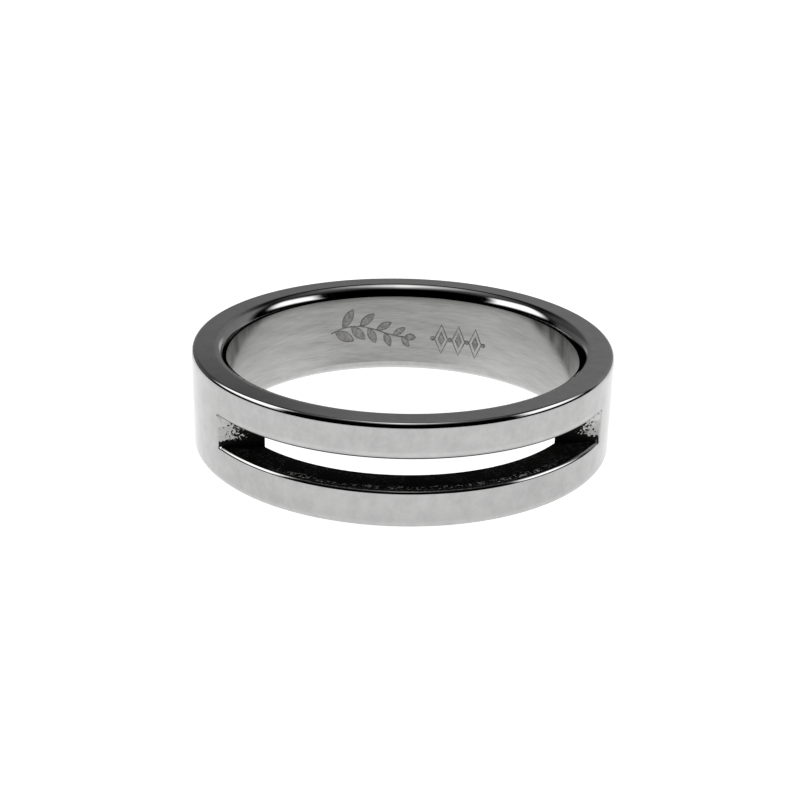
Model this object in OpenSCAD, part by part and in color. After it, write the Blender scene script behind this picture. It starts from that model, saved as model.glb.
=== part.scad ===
/* [Band] */
// Outer diameter of the ring
outer_d = 20.9; // [20.5:0.05:23]
// Inside diameter, the finger size
bore_d = 17.5; // [15.5:0.05:18]
// Width of the band, its height as it lies on its side
band_w = 5; // [4.4:0.1:7]
// Radius of the two polished outer edges
edge_r = 0.27; // [0.1:0.01:0.4]
// Radius of the two inside edges
inner_r = 0.62; // [0.3:0.01:0.7]

/* [Slot] */
// Height of the slot's floor above the lower side face
slot_floor = 1.8; // [1.6:0.01:2]
// Clear height of the slot
slot_h = 1.49; // [1:0.01:1.6]
// Radius of the slot's two long outer lips
lip_r = 0.2; // [0.05:0.01:0.3]
// Distance of each end wall's plane from the finger axis
end_distance = 5.98; // [5.5:0.01:7]
// Turn of each end wall's plane from square to the front
end_tilt = 4.4; // [0:0.1:12]

/* [Hidden] */
$fn = 96;
outer_r = outer_d / 2;
bore_r = bore_d / 2;
clear = 1;                                    // how far a cutter runs past the metal
slot_ceiling = slot_floor + slot_h;
end_apex = end_distance / cos(end_tilt);      // where the two end planes meet
reach = outer_r + clear;
end_edge = reach * tan(end_tilt) - end_apex;  // end plane at the cutter's side

// Section drawings have the radius along x and the height along y.

// What a convex corner loses to a round of radius r; the metal lies to the lower left
module corner_waste(r) {
    difference() {
        translate([-r, -r]) square(r + clear);
        translate([-r, -r]) circle(r);
    }
}

// Both upper corners of the section
module side_waste() {
    translate([outer_r, 0]) corner_waste(edge_r);
    translate([bore_r, 0]) mirror([1, 0]) corner_waste(inner_r);
}

module band_section() {
    difference() {
        translate([bore_r, 0]) square([outer_r - bore_r, band_w]);
        translate([0, band_w]) side_waste();
        mirror([0, 1]) side_waste();
    }
}

// The slot's section: a plain gap whose two outer lips flare out
module slot_section() {
    translate([bore_r - clear, slot_floor]) square([outer_r - bore_r + 2 * clear, slot_h]);
    translate([outer_r, slot_floor]) corner_waste(lip_r);
    translate([outer_r, slot_ceiling]) mirror([0, 1]) corner_waste(lip_r);
}

// Seen from above, the slot lies in front of two end planes that meet over the bore
module slot_plan() {
    polygon([
        [0, -end_apex],
        [-reach, end_edge],
        [-reach, -reach],
        [reach, -reach],
        [reach, end_edge]
    ]);
}

module slot_void() {
    intersection() {
        rotate_extrude() slot_section();
        linear_extrude(band_w) slot_plan();
    }
}

// One piece of steel, lying on its side with the finger axis upright and the slot in front
module band() {
    color("silver")
    difference() {
        rotate_extrude() band_section();
        slot_void();
    }
}

band();
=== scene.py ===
import math

import bmesh
import bpy
from mathutils import Matrix, Vector


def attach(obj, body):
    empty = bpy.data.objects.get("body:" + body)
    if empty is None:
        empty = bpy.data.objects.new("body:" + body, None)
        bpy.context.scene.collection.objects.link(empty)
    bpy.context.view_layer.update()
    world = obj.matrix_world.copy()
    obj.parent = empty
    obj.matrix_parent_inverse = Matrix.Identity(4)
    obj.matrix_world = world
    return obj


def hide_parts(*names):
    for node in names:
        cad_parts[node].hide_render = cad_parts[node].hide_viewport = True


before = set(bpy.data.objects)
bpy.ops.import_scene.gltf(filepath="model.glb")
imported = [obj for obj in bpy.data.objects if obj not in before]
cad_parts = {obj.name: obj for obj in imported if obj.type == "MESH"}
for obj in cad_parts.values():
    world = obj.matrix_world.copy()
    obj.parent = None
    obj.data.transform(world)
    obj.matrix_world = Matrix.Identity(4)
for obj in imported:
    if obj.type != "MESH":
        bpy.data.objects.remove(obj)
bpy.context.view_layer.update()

mm = 0.001


# One socket of a node tree, which Python's own operators work on
class Signal:
    def __init__(self, tree, socket=None):
        self.tree = tree
        self.socket = socket

    def find(self, sockets, name):
        if isinstance(name, int):
            return sockets[name]
        return next(s for s in sockets if s.name == name and not s.is_unavailable)

    def plug(self, socket, value):
        if isinstance(value, Signal):
            self.tree.links.new(value.socket, socket)
        else:
            socket.default_value = value

    # Adds any node: its type, its settings, then the values or links of its sockets
    def node(self, kind, settings=None, sockets=None):
        made = self.tree.nodes.new(kind)
        for name, value in (settings or {}).items():
            setattr(made, name, value)
        for name, value in (sockets or {}).items():
            self.plug(self.find(made.inputs, name), value)
        first = next((s for s in made.outputs if not s.is_unavailable), None)
        return Signal(self.tree, first)

    def out(self, name):
        return Signal(self.tree, self.find(self.socket.node.outputs, name))

    def math(self, operation, *others):
        return self.node("ShaderNodeMath", {"operation": operation}, dict(enumerate((self,) + others)))

    def __add__(self, other):
        return self.math("ADD", other)

    def __radd__(self, other):
        return self.math("ADD", other)

    def __sub__(self, other):
        return self.math("SUBTRACT", other)

    def __rsub__(self, other):
        return self.node("ShaderNodeMath", {"operation": "SUBTRACT"}, {0: other, 1: self})

    def __mul__(self, other):
        return self.math("MULTIPLY", other)

    def __truediv__(self, other):
        return self.math("DIVIDE", other)

    # 0 below low, 1 above high, with an eased step between them
    def step(self, low, high):
        return self.node(
            "ShaderNodeMapRange",
            {"interpolation_type": "SMOOTHSTEP"},
            {"Value": self, "From Min": low, "From Max": high},
        )


print("camera")
view = {
    "azimuth": -4.9,      # degrees to the right of the slot's middle
    "elevation": 21.96,
    "roll": 1.247,
    "distance": 0.07129,
    "lens": 63.65,
    "shift": (-0.00277, -0.01556),
    "target": (0.0, 0.0, 0.0025),
}


# Unit vector so many degrees to the right of the camera's side and so many up
def aim(around, elevation):
    a = math.radians(view["azimuth"] + around)
    e = math.radians(elevation)
    return Vector((math.sin(a) * math.cos(e), -math.cos(a) * math.cos(e), math.sin(e)))


def makeCamera():
    data = bpy.data.cameras.new("camera")
    data.lens = view["lens"]
    data.shift_x, data.shift_y = view["shift"]
    data.clip_start = 0.001
    data.clip_end = 20.0
    camera = bpy.data.objects.new("camera", data)
    back = aim(0, view["elevation"])
    turn = back.to_track_quat("Z", "Y").to_matrix() @ Matrix.Rotation(math.radians(view["roll"]), 3, "Z")
    camera.matrix_world = Matrix.Translation(Vector(view["target"]) + back * view["distance"]) @ turn.to_4x4()
    bpy.context.scene.collection.objects.link(camera)
    bpy.context.scene.camera = camera


makeCamera()


print("band")
# The band's own sizes in millimetres; in a section the radius goes first and the height second
band = {
    "outer": 10.45,
    "bore": 8.75,
    "width": 5.0,
    "edge": 0.205,           # how far the two outer edges are rounded inwards
    "edgeRise": 0.268,       # and how far along the outer face
    "innerEdge": 0.62,       # radius of the two inside edges
    "slotFloor": 1.8,
    "slotCeiling": 3.29,
    "lip": 0.17,             # how far the slot's long outer lips are rounded up or down
    "lipDepth": 0.24,        # and how far inwards
    "wallDistance": 5.98,    # from the finger axis to each end wall's plane
    "wallTilt": 4.4,         # degrees from square to the front
    "wallRound": 0.32,       # radius where an end wall meets the outer face
    "roundFade": 1.6,        # over how many lips that radius fades in, up and down
    "support": 0.012,        # a row of vertices this close to each tangent line
    "weld": 0.001,           # vertices closer than this are one
    "edgeSteps": 18,         # faces across each rounded edge, and across each straight run
    "innerSteps": 24,
    "lipSteps": 18,
    "faceSteps": 4,
    "sideSteps": 3,
    "boreSteps": 6,
    "floorSteps": 8,
    "spanSteps": 170,        # stations over the slot
    "wrapSteps": 330,        # stations over the rest of the circle
    "crowding": 0.85,        # how much the stations crowd at the end walls
    "windowRows": 18,
    "creaseAngle": 15.0,     # degrees; sharper edges stay crisp
    "level": 0.99,           # a face whose normal is this upright lies level
}


def arc(centre, radius, start, end, steps):
    points = []
    for k in range(steps + 1):
        a = math.radians(start + (end - start) * k / steps)
        points.append((centre[0] + radius * math.cos(a), centre[1] + radius * math.sin(a)))
    return points


# Points strictly between two ends: a support point by each, and plain ones between
def run(start, end, steps):
    length = math.dist(start, end)
    near = band["support"] / length
    shares = [near] + [k / steps for k in range(1, steps)] + [1 - near]
    return [(start[0] + (end[0] - start[0]) * s, start[1] + (end[1] - start[1]) * s) for s in shares]


# Section of the upper strip, from the slot's outer edge over the side face to the bore
def sideProfile(slotHeight):
    outer, bore, width, inner = band["outer"], band["bore"], band["width"], band["innerEdge"]
    edge, rise = band["edge"], band["edgeRise"]
    flatEnd = (bore + inner, width)
    wallTop = (bore, width - inner)
    slotEdge = (outer, slotHeight + band["lip"])
    faceTop = (outer, width - rise)
    boreEdge = (bore, slotHeight)
    quarter = arc((0, 0), 1.0, 0, 90, band["edgeSteps"])
    points = [slotEdge] + run(slotEdge, faceTop, band["faceSteps"])
    points += [(outer - edge * (1 - x), width - rise * (1 - y)) for x, y in quarter]
    points += run((outer - edge, width), flatEnd, band["sideSteps"])
    points += arc((bore + inner, width - inner), inner, 90, 180, band["innerSteps"])
    points += run(wallTop, boreEdge, band["boreSteps"]) + [boreEdge]
    return points


def flip(points):
    return [(r, band["width"] - z) for r, z in reversed(points)]


# From the bore along the slot's floor or ceiling and round the outer lip; down is 1 or -1
def slotProfile(height, down):
    depth, lip = band["lipDepth"], band["lip"]
    inner = band["outer"] - depth
    start, end = (band["bore"], height), (inner, height)
    curve = arc((0, 0), 1.0, 90 * down, 0, band["lipSteps"])
    rounded = [(inner + depth * x, height + lip * (y - down)) for x, y in curve]
    return [start] + run(start, end, band["floorSteps"]) + rounded


def windowRows(low, high):
    return [low + (high - low) * k / band["windowRows"] for k in range(1, band["windowRows"])]


def makeSections():
    floor, ceiling, lip = band["slotFloor"], band["slotCeiling"], band["lip"]
    upper = sideProfile(ceiling)
    lower = flip(sideProfile(band["width"] - floor))
    boreRows = [(band["bore"], z) for z in reversed(windowRows(floor, ceiling))]
    faceRows = [(band["outer"], z) for z in windowRows(floor - lip, ceiling + lip)]
    return {
        "whole": upper + boreRows + lower + faceRows,
        "upper": upper + slotProfile(ceiling, -1)[1:-1],
        "lower": lower + slotProfile(floor, 1)[::-1][1:-1],
        "floor": slotProfile(floor, 1),
    }


# Starts a geometry tree with named inputs, and gives the signal of each
def startTree(name, inputs):
    tree = bpy.data.node_groups.new(name, "GeometryNodeTree")
    for label, kind in [("Outline", "Geometry")] + inputs:
        tree.interface.new_socket(name=label, in_out="INPUT", socket_type="NodeSocket" + kind)
    tree.interface.new_socket(name="Geometry", in_out="OUTPUT", socket_type="NodeSocketGeometry")
    return tree, Signal(tree).node("NodeGroupInput")


# Turns a grid's own numbering into a column and a row
def gridCells(tools, columns, rows):
    grid = tools.node("GeometryNodeMeshGrid", None, {"Vertices X": columns, "Vertices Y": rows})
    index = tools.node("GeometryNodeInputIndex")
    column = (index / rows).math("FLOOR")
    return grid, column, index - column * rows


# Radius and height of the outline's point with this number
def outlinePoint(tools, outline, number):
    place = tools.node("GeometryNodeInputPosition")
    sample = tools.node(
        "GeometryNodeSampleIndex",
        {"data_type": "FLOAT_VECTOR", "domain": "POINT"},
        {"Geometry": outline, "Value": place, "Index": number},
    )
    parts = sample.node("ShaderNodeSeparateXYZ", None, {0: sample})
    return parts.out("X"), parts.out("Z")


# Angle of an end wall's plane at a radius, in radians from the slot's middle
def wallAngle(radius, distance, tilt):
    return (distance / radius).math("ARCCOSINE") + tilt


# Puts the grid round the finger axis and ends the tree
def endTree(tools, grid, radius, angle, height, material):
    place = tools.node(
        "ShaderNodeCombineXYZ",
        None,
        {"X": radius * angle.math("SINE"), "Y": radius * angle.math("COSINE") * -1.0, "Z": height},
    )
    moved = tools.node("GeometryNodeSetPosition", None, {"Geometry": grid, "Position": place})
    real = tools.node("GeometryNodeRealizeInstances", None, {"Geometry": moved})
    done = tools.node("GeometryNodeSetMaterial", None, {"Geometry": real, "Material": material})
    tools.node("NodeGroupOutput", None, {"Geometry": done})


# Sweeps a closed section round the finger axis, over the slot or over the rest of the circle
def sectionTree(material):
    sizes = [("Stations", "Int"), ("Wall distance", "Float"), ("Wall tilt", "Float")]
    tree, inputs = startTree("sweepSection", sizes + [("Past the slot", "Float"), ("Crowding", "Float")])
    outline = inputs.out("Outline")
    stations = inputs.out("Stations")
    count = inputs.node("GeometryNodeAttributeDomainSize", {"component": "MESH"}, {"Geometry": outline})
    grid, column, row = gridCells(inputs, stations + 1.0, count.out("Point Count") + 1.0)
    radius, height = outlinePoint(inputs, outline, row.math("MODULO", count.out("Point Count")))
    even = column / stations * 2.0 - 1.0
    crowded = (even * (math.pi / 2)).math("SINE")
    share = even + (crowded - even) * inputs.out("Crowding")
    wall = wallAngle(radius, inputs.out("Wall distance"), inputs.out("Wall tilt"))
    past = inputs.out("Past the slot")
    angle = share * wall * (1.0 - past) + (share * (math.pi - wall) + math.pi) * past
    endTree(inputs, grid, radius, angle, height, material)
    return tree


# Fills an end wall of the slot between its floor and its ceiling
def wallTree(material):
    sizes = [("Rows", "Int"), ("Wall distance", "Float"), ("Wall tilt", "Float")]
    tree, inputs = startTree("fillEndWall", sizes + [("Slot middle", "Float"), ("Side", "Float")])
    outline = inputs.out("Outline")
    rows = inputs.out("Rows")
    count = inputs.node("GeometryNodeAttributeDomainSize", {"component": "MESH"}, {"Geometry": outline})
    grid, column, row = gridCells(inputs, count.out("Point Count"), rows + 1.0)
    radius, low = outlinePoint(inputs, outline, column)
    height = low + (inputs.out("Slot middle") - low) * (row / rows * 2.0)
    wall = wallAngle(radius, inputs.out("Wall distance"), inputs.out("Wall tilt"))
    endTree(inputs, grid, radius, wall * inputs.out("Side"), height, material)
    return tree


# Runs a tree on an outline and gives the result as a plain mesh
def runTree(tree, outline, values):
    mesh = bpy.data.meshes.new("outline")
    edges = [(k, k + 1) for k in range(len(outline) - 1)]
    mesh.from_pydata([(r * mm, 0.0, z * mm) for r, z in outline], edges, [])
    host = bpy.data.objects.new("outline", mesh)
    bpy.context.scene.collection.objects.link(host)
    modifier = host.modifiers.new("shape", "NODES")
    modifier.node_group = tree
    for item in tree.interface.items_tree:
        if item.in_out == "INPUT" and item.name in values:
            modifier[item.identifier] = values[item.name]
    graph = bpy.context.evaluated_depsgraph_get()
    made = bpy.data.meshes.new_from_object(host.evaluated_get(graph))
    host.modifiers.remove(modifier)
    bpy.data.objects.remove(host)
    bpy.data.meshes.remove(mesh)
    return made


# Rounds the upright corner between each end wall and the outer face
def roundWallCorners(vertices):
    tilt = math.radians(band["wallTilt"])
    normal = Vector((math.sin(tilt), math.cos(tilt)))      # towards the slot, with y counted forwards
    reach = band["wallRound"] * mm
    outer = band["outer"] * mm
    depth = band["wallDistance"] * mm - reach
    along = math.sqrt((outer - reach) ** 2 - depth ** 2)
    centre = normal * depth + Vector((math.cos(tilt), -math.sin(tilt))) * along
    low, high = (band["slotFloor"] - band["lip"]) * mm, (band["slotCeiling"] + band["lip"]) * mm
    fade = band["roundFade"] * band["lip"] * mm
    for vertex in vertices:
        if not low < vertex.co.z < high:
            continue
        side = math.copysign(1.0, vertex.co.x)
        flat = Vector((vertex.co.x * side, -vertex.co.y))
        arm = flat - centre
        if arm.dot(normal) <= 0 or arm.length <= reach:
            continue
        if arm.cross(normal) < 0 or arm.cross(centre) > 0:   # outside the wedge of the round
            continue
        share = min(1.0, (vertex.co.z - low) / fade, (high - vertex.co.z) / fade)
        share = share * share * (3 - 2 * share)
        flat = flat.lerp(centre + arm.normalized() * reach, share)
        vertex.co.x = flat.x * side
        vertex.co.y = -flat.y


def makeBand(materials):
    slots = ("polished", "wall", "brushed", "slot")
    sections = makeSections()
    shared = {
        "Wall distance": band["wallDistance"] * mm,
        "Wall tilt": math.radians(band["wallTilt"]),
        "Crowding": band["crowding"],
    }
    sweep = sectionTree(materials["polished"])
    wall = wallTree(materials["wall"])
    middle = (band["slotFloor"] + band["slotCeiling"]) / 2 * mm
    wrap = {**shared, "Stations": band["wrapSteps"], "Past the slot": 1.0}
    span = {**shared, "Stations": band["spanSteps"], "Past the slot": 0.0}
    patches = []
    for name, values in (("whole", wrap), ("upper", span), ("lower", span)):
        patches.append((runTree(sweep, sections[name], values), "polished"))
    for side in (-1.0, 1.0):
        values = {**shared, "Rows": band["windowRows"], "Slot middle": middle, "Side": side}
        patches.append((runTree(wall, sections["floor"], values), "wall"))
    work = bmesh.new()
    kinds = []
    for patch, kind in patches:
        kinds += [slots.index(kind)] * len(patch.polygons)
        work.from_mesh(patch)
        bpy.data.meshes.remove(patch)
    for face, kind in zip(work.faces, kinds):
        face.material_index = kind
    near = band["weld"] * mm
    bmesh.ops.remove_doubles(work, verts=work.verts, dist=near)
    roundWallCorners(work.verts)
    bmesh.ops.recalc_face_normals(work, faces=work.faces)
    crease = math.radians(band["creaseAngle"])
    for edge in work.edges:
        edge.smooth = edge.calc_face_angle(0.0) < crease
    bore = band["bore"] * mm
    low, high = band["slotFloor"] * mm - near, band["slotCeiling"] * mm + near
    for face in work.faces:
        centre = face.calc_center_median()
        face.smooth = True
        if face.material_index == slots.index("wall"):
            continue
        if abs(math.hypot(centre.x, centre.y) - bore) < 2 * near:
            face.material_index = slots.index("brushed")
        elif abs(face.normal.z) > band["level"] and low < centre.z < high:
            face.material_index = slots.index("slot")
    mesh = bpy.data.meshes.new("band")
    for name in slots:
        mesh.materials.append(materials[name])
    work.to_mesh(mesh)
    openEdges = sum(1 for edge in work.edges if len(edge.link_faces) != 2)
    print("band:", len(work.verts), "vertices", len(work.faces), "faces", openEdges, "open edges")
    work.free()
    piece = bpy.data.objects.new("bandSurface", mesh)
    bpy.context.scene.collection.objects.link(piece)
    return piece


# A material with a Principled shader: fixed values go on its own sockets
def startMaterial(name, values):
    material = bpy.data.materials.new(name)
    material.use_nodes = True
    nodes = material.node_tree.nodes
    shader = next(n for n in nodes if n.type == "BSDF_PRINCIPLED")
    for label, value in values.items():
        shader.inputs[label].default_value = value
    tools = Signal(material.node_tree)
    place = tools.node("ShaderNodeTexCoord").out("Object")
    return material, tools, place, Signal(material.node_tree, shader.outputs[0])


def feed(shader, label, signal):
    shader.plug(shader.find(shader.socket.node.inputs, label), signal)


def noise(tools, place, scale, detail=2.0, rough=0.5):
    values = {"Vector": place, "Scale": scale, "Detail": detail, "Roughness": rough}
    return tools.node("ShaderNodeTexNoise", None, values)


def join(tools, x, y, z=0.0):
    return tools.node("ShaderNodeCombineXYZ", None, {"X": x, "Y": y, "Z": z})


def grey(tools, low, high, share):
    settings = {"data_type": "RGBA"}
    return tools.node("ShaderNodeMix", settings, {"Factor": share, "A": low, "B": high})


def stretched(tools, place, scale):
    return tools.node("ShaderNodeMapping", None, {"Vector": place, "Scale": scale})


def bump(tools, height, strength, distance):
    values = {"Height": height, "Strength": strength, "Distance": distance}
    return tools.node("ShaderNodeBump", None, values)


def dotWith(tools, direction, vector):
    values = {0: direction, 1: tuple(vector)}
    return tools.node("ShaderNodeVectorMath", {"operation": "DOT_PRODUCT"}, values).out("Value")


# The three coordinates, then the distance from the finger axis and the height in millimetres
def cylinder(tools, place):
    parts = tools.node("ShaderNodeSeparateXYZ", None, {0: place})
    x, y = parts.out("X"), parts.out("Y")
    return parts, (x * x + y * y).math("SQRT") / mm, parts.out("Z") / mm


# 1 within a span and 0 beyond its soft rims
def within(signal, span, start, end):
    low, high = span
    return signal.step(low - start, low + start) * (1.0 - signal.step(high - end, high + end))


# The mirror finish, with painted dark reflections and painted highlights. Spans are in millimetres: radii,
# heights, or places in front of the finger axis
polish = {
    "haze": (1300.0, 4.0, 0.7),          # scale, detail and roughness of the haze
    "hazeSpan": (0.25, 0.75),
    "hazeShare": 0.52,
    "tone": 0.34,                        # how far the grey lies from the darker to the lighter one
    "greys": ((0.39, 0.39, 0.388, 1.0), (0.52, 0.52, 0.517, 1.0)),
    "black": (0.001, 0.0009, 0.0009, 1.0),
    "rough": (0.04, 0.06),               # the least roughness, and what the haze adds
    "face": (10.4, 10.44),               # the outer face begins here
    "line": 0.26,                        # radians of the upper inside edge painted black at the wall, a painted dark reflection
    "darkReflectionSwell": 0.93,                       # and how many more at the ring's sides, where the painted dark reflection swells
    "darkReflectionSwellSpans": ((-2.5, 3.0), (4.0, 5.4)),
    "darkReflectionRim": 0.09,
    "darkReflectionStart": 0.01,
    "lipSpans": ((10.1, 10.2), (10.443, 10.448)),
    "lipDarkReflection": 0.15,                     # height of the painted dark reflection, a dark line on the slot's upper lip
    "lipRims": (0.01, 0.03),
    "lipDarkShare": 0.75,
    "gleam": (0.2, 0.34),                # heights of a painted highlight, a paler line above that lip, in front
    "gleamRims": (0.05, 0.1),
    "gleamFront": (5.5, 7.0),
    "ground": (0.15, 0.4),               # paler below this, next to the ground: painted light reflected from the floor
    "floorLightInside": (9.2, 9.4),
    "faceShare": 0.35,
}


def polishedSteel():
    material, tools, place, shader = startMaterial("polishedSteel", {"Metallic": 1.0})
    parts, radius, up = cylinder(tools, place)
    ahead = parts.out("Y") / mm * -1.0
    cloud = noise(tools, place, *polish["haze"])
    # the painted dark reflection: a black line, by the angle round the inside edge's section
    corner = band["width"] - band["innerEdge"]
    angle = (up - corner).math("ARCTAN2", band["bore"] + band["innerEdge"] - radius)
    behind, before = polish["darkReflectionSwellSpans"]
    darkReflectionLimit = ahead.step(*behind) * (1.0 - ahead.step(*before)) * polish["darkReflectionSwell"] + polish["line"]
    rim = polish["darkReflectionRim"]
    line = up.step(corner, corner + polish["darkReflectionStart"]) * (1.0 - (angle - darkReflectionLimit).step(-rim, rim))
    # the slot's upper lip with its painted dark reflection, and the paler places of painted light
    ceiling = band["slotCeiling"]
    inside, outside = polish["lipSpans"]
    height = within(up, (ceiling, ceiling + polish["lipDarkReflection"]), *polish["lipRims"])
    lip = radius.step(*inside) * (1.0 - radius.step(*outside)) * height
    low, high = polish["gleam"]
    gleam = within(up, (ceiling + low, ceiling + high), *polish["gleamRims"])
    gleam = gleam * ahead.step(*polish["gleamFront"])
    # painted light: the floor's reflection next to the ground, and the highlight above the lip
    paintedFloorLight = 1.0 - up.step(*polish["ground"])
    paintedLight = radius.step(*polish["face"]) * (gleam + paintedFloorLight) * polish["faceShare"]
    paintedLight = paintedLight + (1.0 - radius.step(*polish["floorLightInside"])) * paintedFloorLight
    tone = (cloud.step(*polish["hazeSpan"]) - 0.5) * polish["hazeShare"] + polish["tone"] + paintedLight
    low, high = polish["greys"]
    feed(shader, "Base Color", grey(tools, low, high, tone))
    least, more = polish["rough"]
    feed(shader, "Roughness", least + cloud * more)
    # where dark reflections are painted, a black diffuse takes the steel's place
    bare = (1.0 - line) * (1.0 - lip * polish["lipDarkShare"])
    black = tools.node("ShaderNodeBsdfDiffuse", None, {"Color": polish["black"]})
    mixed = tools.node("ShaderNodeMixShader", None, {0: bare, 1: black, 2: shader})
    output = next(n for n in material.node_tree.nodes if n.type == "OUTPUT_MATERIAL")
    material.node_tree.links.new(mixed.socket, output.inputs["Surface"])
    return material


# The brushed inside wall, with painted shade at its upper ends. Lengths are in millimetres, along the wall
# from its front or up it
brushing = {
    "fine": {"tilt": 0.03, "length": 1.1, "width": 0.028, "share": 0.42},
    "cross": {"tilt": -0.16, "length": 0.8, "width": 0.05, "share": 0.2},
    "broad": {"tilt": 0.07, "length": 2.8, "width": 0.5, "share": 0.38},
    "smear": (0.8, 2.4, 0.3),            # length, height and slant of the dark smears, partly real marks and partly painted dark reflection
    "smearSpan": (0.3, 0.7),
    "smearShares": (0.45, 0.4),
    "sides": (2.0, 6.5),                 # paler from here round to the back
    "sideShares": (0.14, 0.12),          # and more so below, a painted paler reflection of the floor
    "sideHeight": (0.8, 2.6),
    "shadeStart": (8.4, 4.1),            # the painted shade at the dark upper ends: along, and up
    "shadeSlope": 2.6,
    "shadeSpans": ((-0.5, 1.4), (12.6, 15.0)),
    # darker towards the top, partly from the brushing and partly a painted dark reflection
    "topSpan": (4.05, 4.5),
    "topShare": 0.7,
    "tone": -0.06,
    "greys": ((0.13, 0.129, 0.126, 1.0), (0.59, 0.588, 0.58, 1.0)),
    "dark": (0.035, 0.034, 0.032, 1.0),
    "rough": (0.24, 0.22),               # the least roughness, and what the strokes add
    "bump": (0.4, 0.00001),
}


# A brush's strokes along the wall, slightly tilted
def strokes(tools, along, up, brush):
    tilt = brush["tilt"]
    turned = join(tools, along / brush["length"], (up + along * tilt) / brush["width"], tilt * 90)
    return noise(tools, turned, 1.0, 4.0, 0.62)


def brushedSteel():
    material, tools, place, shader = startMaterial("brushedSteel", {"Metallic": 1.0})
    parts, _, up = cylinder(tools, place)
    along = parts.out("X").math("ARCTAN2", parts.out("Y")) * band["bore"]
    brushes = [brushing[name] for name in ("fine", "cross", "broad")]
    fine, cross, broad = [strokes(tools, along, up, brush) * brush["share"] for brush in brushes]
    streaks = fine + cross + broad
    length, height, slant = brushing["smear"]
    smear = noise(tools, join(tools, along / length, up / height + along * slant), 1.0, 2.0)
    away = along.math("ABSOLUTE")
    start, level = brushing["shadeStart"]
    begin, finish = brushing["shadeSpans"]
    slope = away - start + (up - level) * brushing["shadeSlope"]
    shade = slope.step(*begin) * (1.0 - away.step(*finish))
    tone = streaks.step(0.0, 1.0) * (1.0 - up.step(*brushing["topSpan"]) * brushing["topShare"])
    sides, below = brushing["sideShares"]
    pale = sides + (1.0 - up.step(*brushing["sideHeight"])) * below
    tone = tone + brushing["tone"] + away.step(*brushing["sides"]) * pale
    least, more = brushing["smearShares"]
    # painted shade at the wall's upper ends, broken up by the smears
    dark = shade * (least + smear.step(*brushing["smearSpan"]) * more)
    low, high = brushing["greys"]
    steel = grey(tools, low, high, tone)
    feed(shader, "Base Color", grey(tools, steel, brushing["dark"], dark))
    least, more = brushing["rough"]
    feed(shader, "Roughness", least + streaks * more)
    feed(shader, "Normal", bump(tools, streaks, *brushing["bump"]))
    return material


# The slot's floor and ceiling: black, with faint pits, and with bright specks by the lip in front
slotFinish = {
    "grain": (7500.0, 3.0, 0.7),
    "patch": (900.0, 2.0),
    "pits": ((0.5, 0.62), (0.35, 0.6)),      # steps of the grain and of the patches
    "pitShare": 0.07,
    "specks": ((9.88, 10.02), (0.53, 0.58)),  # radii, and a step of the grain
    "speckSpread": 0.5,
    "speckSides": (5.2, 6.8),                # the specks end here on both sides
    "greys": ((0.003, 0.0025, 0.0023, 1.0), (0.6, 0.58, 0.565, 1.0)),
    "rough": (0.6, 0.3),
    "bump": (0.6, 0.00003),
}


def slotSteel():
    values = {"Metallic": 0.0, "Specular IOR Level": 0.06}
    material, tools, place, shader = startMaterial("slotSteel", values)
    parts, radius, _ = cylinder(tools, place)
    grain = noise(tools, place, *slotFinish["grain"])
    patch = noise(tools, place, *slotFinish["patch"])
    grainStep, patchStep = slotFinish["pits"]
    pits = grain.step(*grainStep) * slotFinish["pitShare"] * patch.step(*patchStep)
    radii, grainStep = slotFinish["specks"]
    middle = 1.0 - (parts.out("X") / mm).math("ABSOLUTE").step(*slotFinish["speckSides"])
    edge = (radius + (patch - 0.5) * slotFinish["speckSpread"]).step(*radii)
    specks = edge * grain.step(*grainStep) * middle
    low, high = slotFinish["greys"]
    feed(shader, "Base Color", grey(tools, low, high, pits + specks))
    least, more = slotFinish["rough"]
    feed(shader, "Roughness", least + grain * more)
    feed(shader, "Normal", bump(tools, grain, *slotFinish["bump"]))
    return material


# The slot's end walls: polished by the outer face, pitted further in and black at the bore; the darkening
# inwards is partly real pitting and partly painted shade
wallFinish = {
    "grain": (8200.0, 3.0, 0.6),
    "soft": (300.0, 300.0, 2600.0),          # scale of the faint level streaks
    "softSpan": (0.3, 0.7),
    "start": 9.35,                           # the pits lie about this radius
    "spread": 0.9,
    "foot": (1.9, 2.25),                     # black below this height
    "footShare": 1.1,
    "rightShare": 0.1,                       # the right wall is pitted a little further out
    "pits": 3.3,
    "pitSpan": (0.44, 0.56),
    "black": (0.004, 0.0035, 0.003, 1.0),
    "greys": ((0.3, 0.3, 0.297, 1.0), (0.52, 0.52, 0.517, 1.0)),
    "rough": (0.6, 0.4),                     # where it is pitted, and how much the polish takes off
    "bump": (0.3, 0.00003),
}


def wallSteel():
    material, tools, place, shader = startMaterial("wallSteel", {"Specular IOR Level": 0.1})
    parts, radius, up = cylinder(tools, place)
    grain = noise(tools, place, *wallFinish["grain"])
    soft = noise(tools, stretched(tools, place, wallFinish["soft"]), 1.0, 2.0)
    foot = (1.0 - up.step(*wallFinish["foot"])) * wallFinish["footShare"]
    right = parts.out("X").step(-mm, mm) * wallFinish["rightShare"]
    depth = (radius - wallFinish["start"]) / wallFinish["spread"] - foot - right
    shine = (depth + (grain - 0.5) * wallFinish["pits"]).step(*wallFinish["pitSpan"])
    low, high = wallFinish["greys"]
    steel = grey(tools, low, high, soft.step(*wallFinish["softSpan"]))
    feed(shader, "Base Color", grey(tools, wallFinish["black"], steel, shine))
    feed(shader, "Metallic", shine)
    rough, less = wallFinish["rough"]
    feed(shader, "Roughness", rough - shine * less)
    feed(shader, "Normal", bump(tools, grain, *wallFinish["bump"]))
    return material


piece = makeBand({
    "polished": polishedSteel(),
    "wall": wallSteel(),
    "brushed": brushedSteel(),
    "slot": slotSteel(),
})
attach(piece, "root")
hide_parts("band")


print("ornaments")
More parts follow.
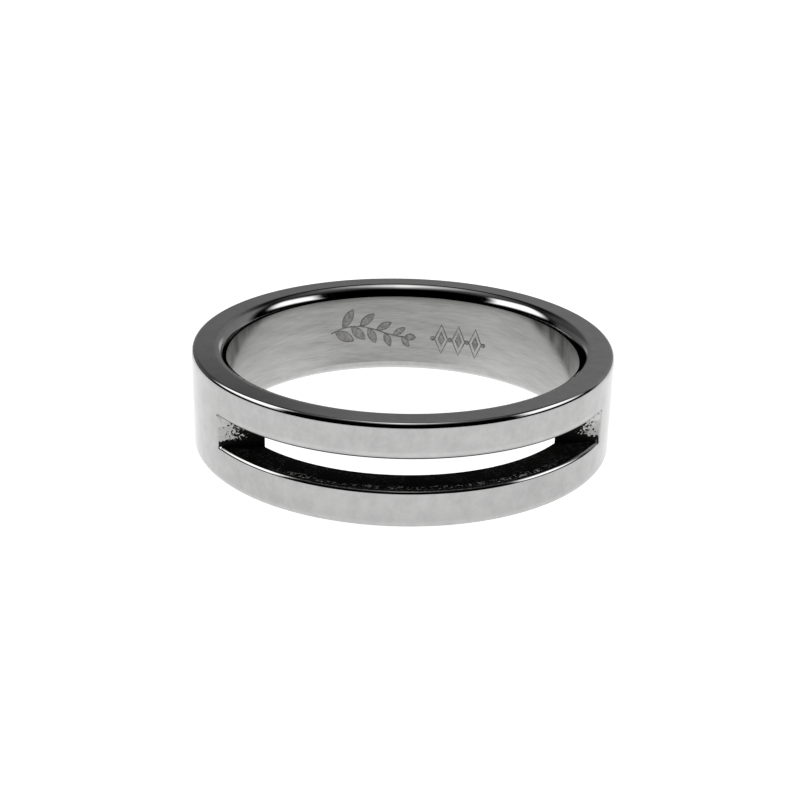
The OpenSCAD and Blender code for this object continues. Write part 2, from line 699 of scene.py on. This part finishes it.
# Two small etched ornaments on the inside wall. A path runs along the wall and up it, in millimetres;
# figures stand on it, each a circle of some resolution drawn out to a length and a width
wave = {"start": -2.35, "length": 4.4, "height": 0.36, "phase": 0.2, "turn": 4.6, "steps": 40}


# The sprig's stem, a slack wave
def stemPoint(number):
    bend = math.sin(wave["phase"] + wave["turn"] * number / wave["steps"])
    return wave["start"] + wave["length"] * number / wave["steps"], wave["height"] * bend


stem = [stemPoint(k) for k in range(wave["steps"] + 1)]
leaf = {
    "Count": 9,
    "Length": 1.25,
    "Width": 0.52,
    "Shift": 0.66,
    "Resolution": 28,
    "Pinch": 1.0,        # how pointed the two ends are
    "Lean": 48.0,        # degrees from the stem
    "Taper": 0.5,        # how much smaller the last one is than the first
}
bud = {"Count": 1, "Length": 0.6, "Width": 0.36, "Shift": 0.26, "Resolution": 24, "Pinch": 0.8}
lozenge = {"Count": 3, "Length": 0.76, "Width": 1.7, "Resolution": 4}
core = {**lozenge, "Length": 0.34, "Width": 0.8}
dot = {"Count": 4, "Length": 0.19, "Width": 0.19, "Resolution": 14}
row = [(-1.0, 0.0), (1.0, 0.0)]
dotRow = [(-1.5, 0.0), (1.5, 0.0)]
ornaments = {
    "etchedSprig": {
        "angle": 187.0,          # degrees round from the slot's middle
        "height": 2.4,
        "line": 0.07,            # width of the lines
        "lift": 0.006,           # how far the filled figures lie off the wall
        "parts": [
            ("Line", stem, {}),
            ("Outline", stem[2:-3], leaf),
            ("Fill", stem[2:-3], leaf),
            ("Outline", stem[-2:], bud),
            ("Fill", stem[-2:], bud),
        ],
    },
    "etchedLozenges": {
        "angle": 154.5,
        "height": 2.05,
        "line": 0.08,
        "lift": 0.006,
        "parts": [
            ("Outline", row, lozenge),
            ("Fill", row, core),
            ("Outline", row, core),
            ("Fill", dotRow, dot),
            ("Outline", dotRow, dot),
        ],
    },
}


# How finely the ornaments are drawn: points of a line, sides of its round section, cuts of a filled figure
etching = {"linePoints": 90, "lineSides": 8, "fillCuts": 3, "lineRise": 0.4}


# The figure that stands on the path, drawn out from a circle and pinched at its two ends
def figureShape(inputs, x, y):
    values = {"Resolution": inputs.out("Resolution"), "Radius": 1.0}
    circle = inputs.node("GeometryNodeCurvePrimitiveCircle", None, values)
    pinch = inputs.out("Pinch")
    across = y * inputs.out("Width") * 0.5 * (1.0 - pinch + pinch * y.math("ABSOLUTE"))
    shape = join(inputs, x * inputs.out("Length") * 0.5 + inputs.out("Shift"), across)
    return inputs.node("GeometryNodeSetPosition", None, {"Geometry": circle, "Position": shape})


# The figures on the path, which lean to both sides in turn and get smaller
def standFigures(inputs, drawn, figure):
    values = {"Curve": drawn, "Count": inputs.out("Count")}
    points = inputs.node("GeometryNodeCurveToPoints", None, values)
    number = inputs.node("GeometryNodeInputIndex")
    side = number.math("MODULO", 2.0) * 2.0 - 1.0
    way = points.out("Tangent").node("ShaderNodeSeparateXYZ", None, {0: points.out("Tangent")})
    turn = way.out("Y").math("ARCTAN2", way.out("X")) + side * inputs.out("Lean")
    size = 1.0 - inputs.out("Taper") * number / inputs.out("Count")
    values = {
        "Points": points,
        "Instance": figure,
        "Rotation": join(inputs, 0.0, 0.0, turn),
        "Scale": size,
    }
    stood = inputs.node("GeometryNodeInstanceOnPoints", None, values)
    return inputs.node("GeometryNodeRealizeInstances", None, {"Geometry": stood})


# Draws a path as a line, or outlined or filled figures on it, and lays all on the bore's wall
def ornamentTree(kind, material):
    sizes = [("Count", "Int"), ("Resolution", "Int")]
    sizes += [(name, "Float") for name in ("Length", "Width", "Shift", "Pinch", "Lean", "Taper")]
    sizes += [(name, "Float") for name in ("Line width", "Lift", "Bore", "Angle", "Height")]
    tree, inputs = startTree("etch" + kind, sizes)
    spot = inputs.node("GeometryNodeInputPosition")
    parts = spot.node("ShaderNodeSeparateXYZ", None, {0: spot})
    x, y, z = parts.out("X"), parts.out("Y"), parts.out("Z")
    values = {"Geometry": inputs.out("Outline"), "Position": join(inputs, x, z)}
    laid = inputs.node("GeometryNodeSetPosition", None, values)
    drawn = inputs.node("GeometryNodeMeshToCurve", None, {"Mesh": laid})
    if kind == "Line":
        values = {"Curve": drawn, "Count": etching["linePoints"]}
        drawn = inputs.node("GeometryNodeResampleCurve", None, values)
    else:
        drawn = standFigures(inputs, drawn, figureShape(inputs, x, y))
    if kind == "Fill":
        filled = inputs.node("GeometryNodeFillCurve", None, {"Curve": drawn})
        values = {"Mesh": filled, "Level": etching["fillCuts"]}
        mesh = inputs.node("GeometryNodeSubdivideMesh", None, values)
        raised = inputs.out("Lift")
    else:
        values = {"Resolution": etching["lineSides"], "Radius": inputs.out("Line width") * 0.5}
        profile = inputs.node("GeometryNodeCurvePrimitiveCircle", None, values)
        values = {"Curve": drawn, "Profile Curve": profile}
        mesh = inputs.node("GeometryNodeCurveToMesh", None, values)
        raised = z * etching["lineRise"]
    bore = inputs.out("Bore")
    angle = inputs.out("Angle") - x / bore
    endTree(inputs, mesh, bore - raised, angle, y + inputs.out("Height"), material)
    return tree


def makeOrnament(name, materials):
    design = ornaments[name]
    shared = {
        "Bore": band["bore"] * mm,
        "Angle": math.radians(design["angle"]),
        "Height": design["height"] * mm,
        "Line width": design["line"] * mm,
        "Lift": design["lift"] * mm,
    }
    work = bmesh.new()
    for kind, path, figure in design["parts"]:
        lengths = {label: figure.get(label, 0.0) * mm for label in ("Length", "Width", "Shift")}
        others = {label: figure.get(label, 0.0) for label in ("Pinch", "Taper")}
        counts = {"Count": figure.get("Count", 1), "Resolution": figure.get("Resolution", 3)}
        values = {**shared, **lengths, **others, **counts, "Lean": math.radians(figure.get("Lean", 0.0))}
        made = runTree(ornamentTree(kind, materials[kind]), path, values)
        start = len(work.faces)
        work.from_mesh(made)
        bpy.data.meshes.remove(made)
        work.faces.ensure_lookup_table()
        fresh = work.faces[start:]
        bmesh.ops.recalc_face_normals(work, faces=fresh)
        for face in fresh:
            face.material_index = 1 if kind == "Fill" else 0
            face.smooth = True
            middle = face.calc_center_median()
            if kind == "Fill" and face.normal.x * middle.x + face.normal.y * middle.y > 0:
                face.normal_flip()
    mesh = bpy.data.meshes.new(name)
    mesh.materials.append(materials["Line"])
    mesh.materials.append(materials["Fill"])
    work.to_mesh(mesh)
    print(name + ":", len(work.verts), "vertices", len(work.faces), "faces")
    work.free()
    made = bpy.data.objects.new(name, mesh)
    bpy.context.scene.collection.objects.link(made)
    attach(made, "root")


etchedFinish = {
    "grain": (6000.0, 3.0, 0.6),
    "grainSpan": (0.3, 0.7),
    "shares": ((0.7, 0.69, 0.68), (1.3, 1.29, 1.27)),    # of the tone, where it is darkest and lightest
    "rough": (0.42, 0.2),
    "line": 0.22,
    "fill": 0.28,
}


def etchedSteel(name, tone):
    material, tools, place, shader = startMaterial(name, {"Metallic": 1.0})
    grain = noise(tools, place, *etchedFinish["grain"])
    low, high = [tuple(tone * share for share in shares) + (1.0,) for shares in etchedFinish["shares"]]
    feed(shader, "Base Color", grey(tools, low, high, grain.step(*etchedFinish["grainSpan"])))
    least, more = etchedFinish["rough"]
    feed(shader, "Roughness", least + grain * more)
    return material


inks = {
    "Line": etchedSteel("etchedLine", etchedFinish["line"]),
    "Fill": etchedSteel("etchedFill", etchedFinish["fill"]),
}
inks["Outline"] = inks["Line"]
for name in ornaments:
    makeOrnament(name, inks)


print("floor and light")
black, white = (0.0, 0.0, 0.0, 1.0), (1.0, 1.0, 1.0, 1.0)

ground = {
    "radius": 0.9,           # metres
    "rim": 0.03,             # metres that the floor turns up at its edge
    "sides": 96,
    "grey": 0.5,
    "cloud": 0.02,           # how much lighter the grey gets in places
    "cloudScale": 6.0,
    "glow": 0.96,
    "fade": (25, 160),       # millimetres in front of the ring over which the glow fades
    "share": 0.6,            # of the glow that stays beyond
}

# A soft box on each side, leaning back; places are in millimetres, to the back and up
softBox = {
    "distance": 67,
    "back": (-90, 130),
    "up": (1, 175),
    "lean": (60, 0.45),          # the height of the middle, and the lean
    "rims": (10, 10, 22),        # how softly the light ends to the sides, at the bottom and at the top
    -1: {"back": (-20, 41), "up": (36, 118), "light": 2.5},
    1: {"back": (-22, 30), "up": (34, 94), "light": 2.4},
}


# A piece of the studio with the given corners and faces
def stageMesh(name, corners, faces, material):
    mesh = bpy.data.meshes.new(name)
    mesh.from_pydata([tuple(corner) for corner in corners], [], faces)
    mesh.materials.append(material)
    made = bpy.data.objects.new(name, mesh)
    bpy.context.scene.collection.objects.link(made)
    return made


def glowing(name, values):
    return startMaterial(name, {"Roughness": 0.9, "Specular IOR Level": 0.0, **values})


def makeFloor():
    material, tools, place, shader = glowing("floorWhite", {"Emission Strength": ground["glow"]})
    cloud = noise(tools, place, ground["cloudScale"])
    low, high = [(tone, tone, tone, 1.0) for tone in (ground["grey"], ground["grey"] + ground["cloud"])]
    feed(shader, "Base Color", grey(tools, low, high, cloud))
    ahead = dotWith(tools, place, (0, -1, 0)) / mm
    fade = 1.0 - ahead.step(*ground["fade"]) * (1.0 - ground["share"])
    feed(shader, "Emission Color", grey(tools, black, white, fade))
    count, radius = ground["sides"], ground["radius"]
    around = [math.tau * k / count for k in range(count)]
    corners = []
    for z in (0.0, ground["rim"]):
        corners += [(radius * math.cos(a), radius * math.sin(a), z) for a in around]
    rim = [(k, k + count, (k + 1) % count + count, (k + 1) % count) for k in range(count)]
    stageMesh("floor", corners, [tuple(range(count))] + rim, material)


# A glowing upright panel on one side, which thins out towards its rims
def makeSoftBox(side):
    box = softBox[side]
    values = {"Base Color": black, "Emission Color": white, "Emission Strength": box["light"]}
    material, tools, place, shader = glowing("softBox", values)
    ahead = aim(180, 0)
    up = dotWith(tools, place, (0, 0, 1)) / mm
    middle, lean = softBox["lean"]
    back = dotWith(tools, place, ahead) / mm - (up - middle) * lean
    rim, bottom, top = softBox["rims"]
    feed(shader, "Alpha", within(back, box["back"], rim, rim) * within(up, box["up"], bottom, top))
    out = aim(90, 0) * side * softBox["distance"]
    near, far = softBox["back"]
    low, high = softBox["up"]
    places = ((near, low), (far, low), (far, high), (near, high))
    corners = [(out + ahead * y + Vector((0, 0, z))) * mm for y, z in places]
    panel = stageMesh("softBox", corners, [(0, 1, 2, 3)], material)
    panel.visible_camera = False


# The overhead light; spans are tangents of the angle from straight up, to the back or to the sides
overhead = {
    "front": (-0.45, 0.55),
    "back": (0.15, 1.15),
    "core": (-0.2, 0.28),
    "coreLight": 3.6,
    "skirt": (-0.2, 0.8),
    "skirtLight": 0.5,
    "least": 0.05,           # keeps the tangents finite
}

# The grey backdrop; heights and places to the side are sines of angles
backdrop = {
    "grey": 0.245,
    "slant": 0.14,           # lighter towards the right
    "dim": 0.45,             # darker on the upper left
    "dimSide": (0.02, 0.12),
    "dimHeight": (0.33, 0.39),
    "middle": (0.18, 0.38),
    "foot": (0.05, 0.13),    # black below this in the middle
    "strip": 0.52,           # two bright strips over that foot
    "stripSide": (0.09, 0.19),
    "stripHeight": ((0.06, 0.17), (0.19, 0.3)),
    "top": (0.42, 0.6),
    "topSlant": 0.35,
    "start": (0.4, 0.6),     # how far towards the back it begins
}


# Paints the overhead light and the backdrop on the world
def makeLight():
    world = bpy.data.worlds.new("studio")
    bpy.context.scene.world = world
    world.use_nodes = True
    tools = Signal(world.node_tree)
    direction = tools.node("ShaderNodeTexCoord").out("Generated")
    behind = dotWith(tools, direction, aim(180, 0))
    across = dotWith(tools, direction, aim(90, 0))
    height = dotWith(tools, direction, (0, 0, 1))
    beside = across.math("ABSOLUTE")
    lean = behind / height.math("MAXIMUM", overhead["least"])
    aside = beside / height.math("MAXIMUM", overhead["least"])
    core = (1.0 - aside.step(*overhead["core"])) * overhead["coreLight"]
    skirt = (1.0 - aside.step(*overhead["skirt"])) * overhead["skirtLight"]
    along = (1.0 - lean.step(*overhead["back"])) * lean.step(*overhead["front"])
    above = along * (core + skirt)
    middle = 1.0 - beside.step(*backdrop["middle"])
    left = (across * -1.0).step(*backdrop["dimSide"])
    dim = left * height.step(*backdrop["dimHeight"]) * backdrop["dim"]
    foot = middle * (1.0 - height.step(*backdrop["foot"]))
    tone = (backdrop["grey"] + across * backdrop["slant"]) * (1.0 - dim) * (1.0 - foot)
    bottom, top = backdrop["stripHeight"]
    sides = middle * beside.step(*backdrop["stripSide"])
    strip = height.step(*bottom) * (1.0 - height.step(*top)) * sides * backdrop["strip"]
    below = 1.0 - (height - beside * backdrop["topSlant"]).step(*backdrop["top"])
    light = above + below * behind.step(*backdrop["start"]) * (tone + strip)
    background = next(n for n in world.node_tree.nodes if n.type == "BACKGROUND")
    world.node_tree.links.new(light.socket, background.inputs["Color"])
    background.inputs["Strength"].default_value = 1.0


makeFloor()
makeSoftBox(-1)
makeSoftBox(1)
makeLight()
bpy.context.scene.view_settings.view_transform = "Standard"
bpy.context.scene.view_settings.look = "None"
